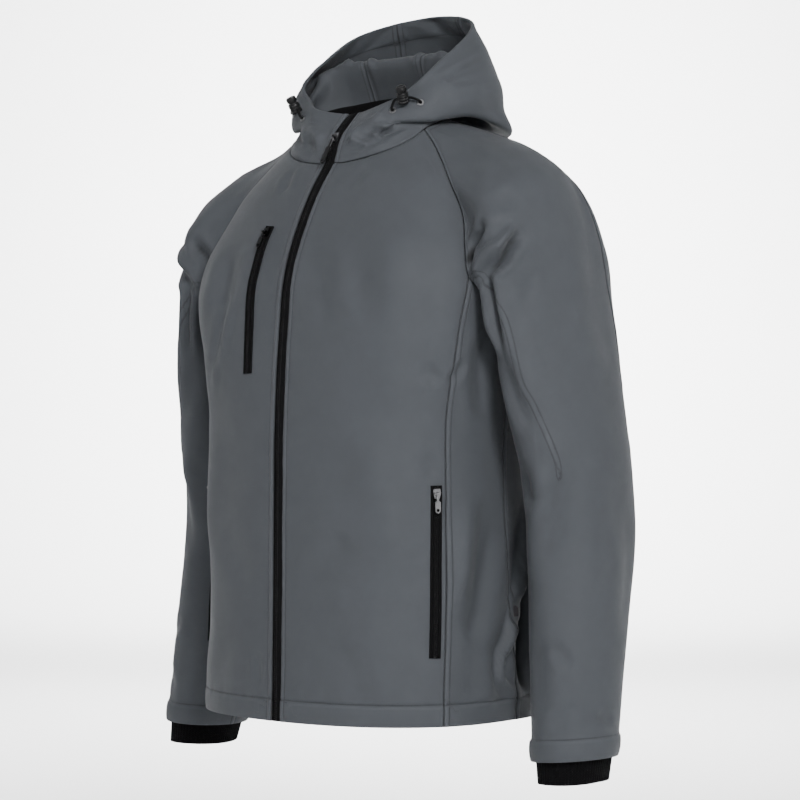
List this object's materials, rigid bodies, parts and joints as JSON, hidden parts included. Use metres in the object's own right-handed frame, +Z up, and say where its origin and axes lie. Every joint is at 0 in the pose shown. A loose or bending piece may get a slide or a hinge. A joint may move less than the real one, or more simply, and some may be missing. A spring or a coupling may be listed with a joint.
{
  "type": "softshell jacket",
  "caption": "Men's hooded softshell jacket with raglan sleeves, full front zip, zipped hand and chest pockets, ribbed cuffs and brim cords with toggles.",
  "frame": {"origin": "middle of the neck opening at the level of the side of the neck, where the wearer's neck and shoulders hold the jacket", "axes": "+Z up, -Y the way the wearer faces, +X the wearer's left"},
  "size_m": [0.6684, 0.3194, 0.9074],
  "materials": {
    "cloth": "matt slate grey bonded softshell with a fine weave",
    "rib": "matt black knitted rib",
    "zip_tape": "black woven zip tape with a covered coil",
    "label": "plain dark woven label",
    "slider_metal": "silver grey die-cast metal",
    "plastic": "black moulded plastic",
    "cord": "black braided elastic cord"
  },
  "bodies": {
    "jacket": {"front_left": "cloth", "front_right": "cloth", "side_left": "cloth", "side_right": "cloth", "back": "cloth", "sleeve_front_left": "cloth", "sleeve_front_right": "cloth", "sleeve_back_left": "cloth", "sleeve_back_right": "cloth", "hood_side_left": "cloth", "hood_centre": "cloth", "hood_side_right": "cloth", "rib_cuff_left": "rib", "rib_cuff_right": "rib", "zip_main": "zip_tape", "zip_chest": "zip_tape", "zip_pocket_left": "zip_tape", "zip_pocket_right": "zip_tape", "label_side": "label", "slider_main": "slider_metal", "slider_chest": "slider_metal", "slider_pocket_left": "slider_metal", "slider_pocket_right": "slider_metal", "eyelet_front_left": "slider_metal", "eyelet_front_right": "slider_metal", "eyelet_rear_left": "slider_metal", "eyelet_rear_right": "slider_metal", "toggle_left": "plastic", "toggle_right": "plastic", "cord_left": "cord", "cord_right": "cord"},
    "main_pull": {"pull_main": "plastic"},
    "chest_pull": {"pull_chest": "slider_metal"},
    "pocket_pull_left": {"pull_pocket_left": "slider_metal"},
    "pocket_pull_right": {"pull_pocket_right": "slider_metal"}
  },
  "joints": [
    {"name": "main_pull_hinge", "type": "hinge", "parent": "jacket", "child": "main_pull", "pos_m": [0, -0.06761, -0.01806], "axis": [-1, 0, 0], "range_deg": [0, 150]},
    {"name": "chest_pull_hinge", "type": "hinge", "parent": "jacket", "child": "chest_pull", "pos_m": [-0.05161, -0.13315, -0.13171], "axis": [-0.9953, 0.092, 0.03], "range_deg": [0, 150]},
    {"name": "pocket_pull_hinge_left", "type": "hinge", "parent": "jacket", "child": "pocket_pull_left", "pos_m": [0.18011, -0.09406, -0.43605], "axis": [-0.5569, -0.8304, -0.0159], "range_deg": [0, 150]},
    {"name": "pocket_pull_hinge_right", "type": "hinge", "parent": "jacket", "child": "pocket_pull_right", "pos_m": [-0.18011, -0.09406, -0.43605], "axis": [-0.5569, 0.8304, 0.0159], "range_deg": [0, 150]}
  ]
}
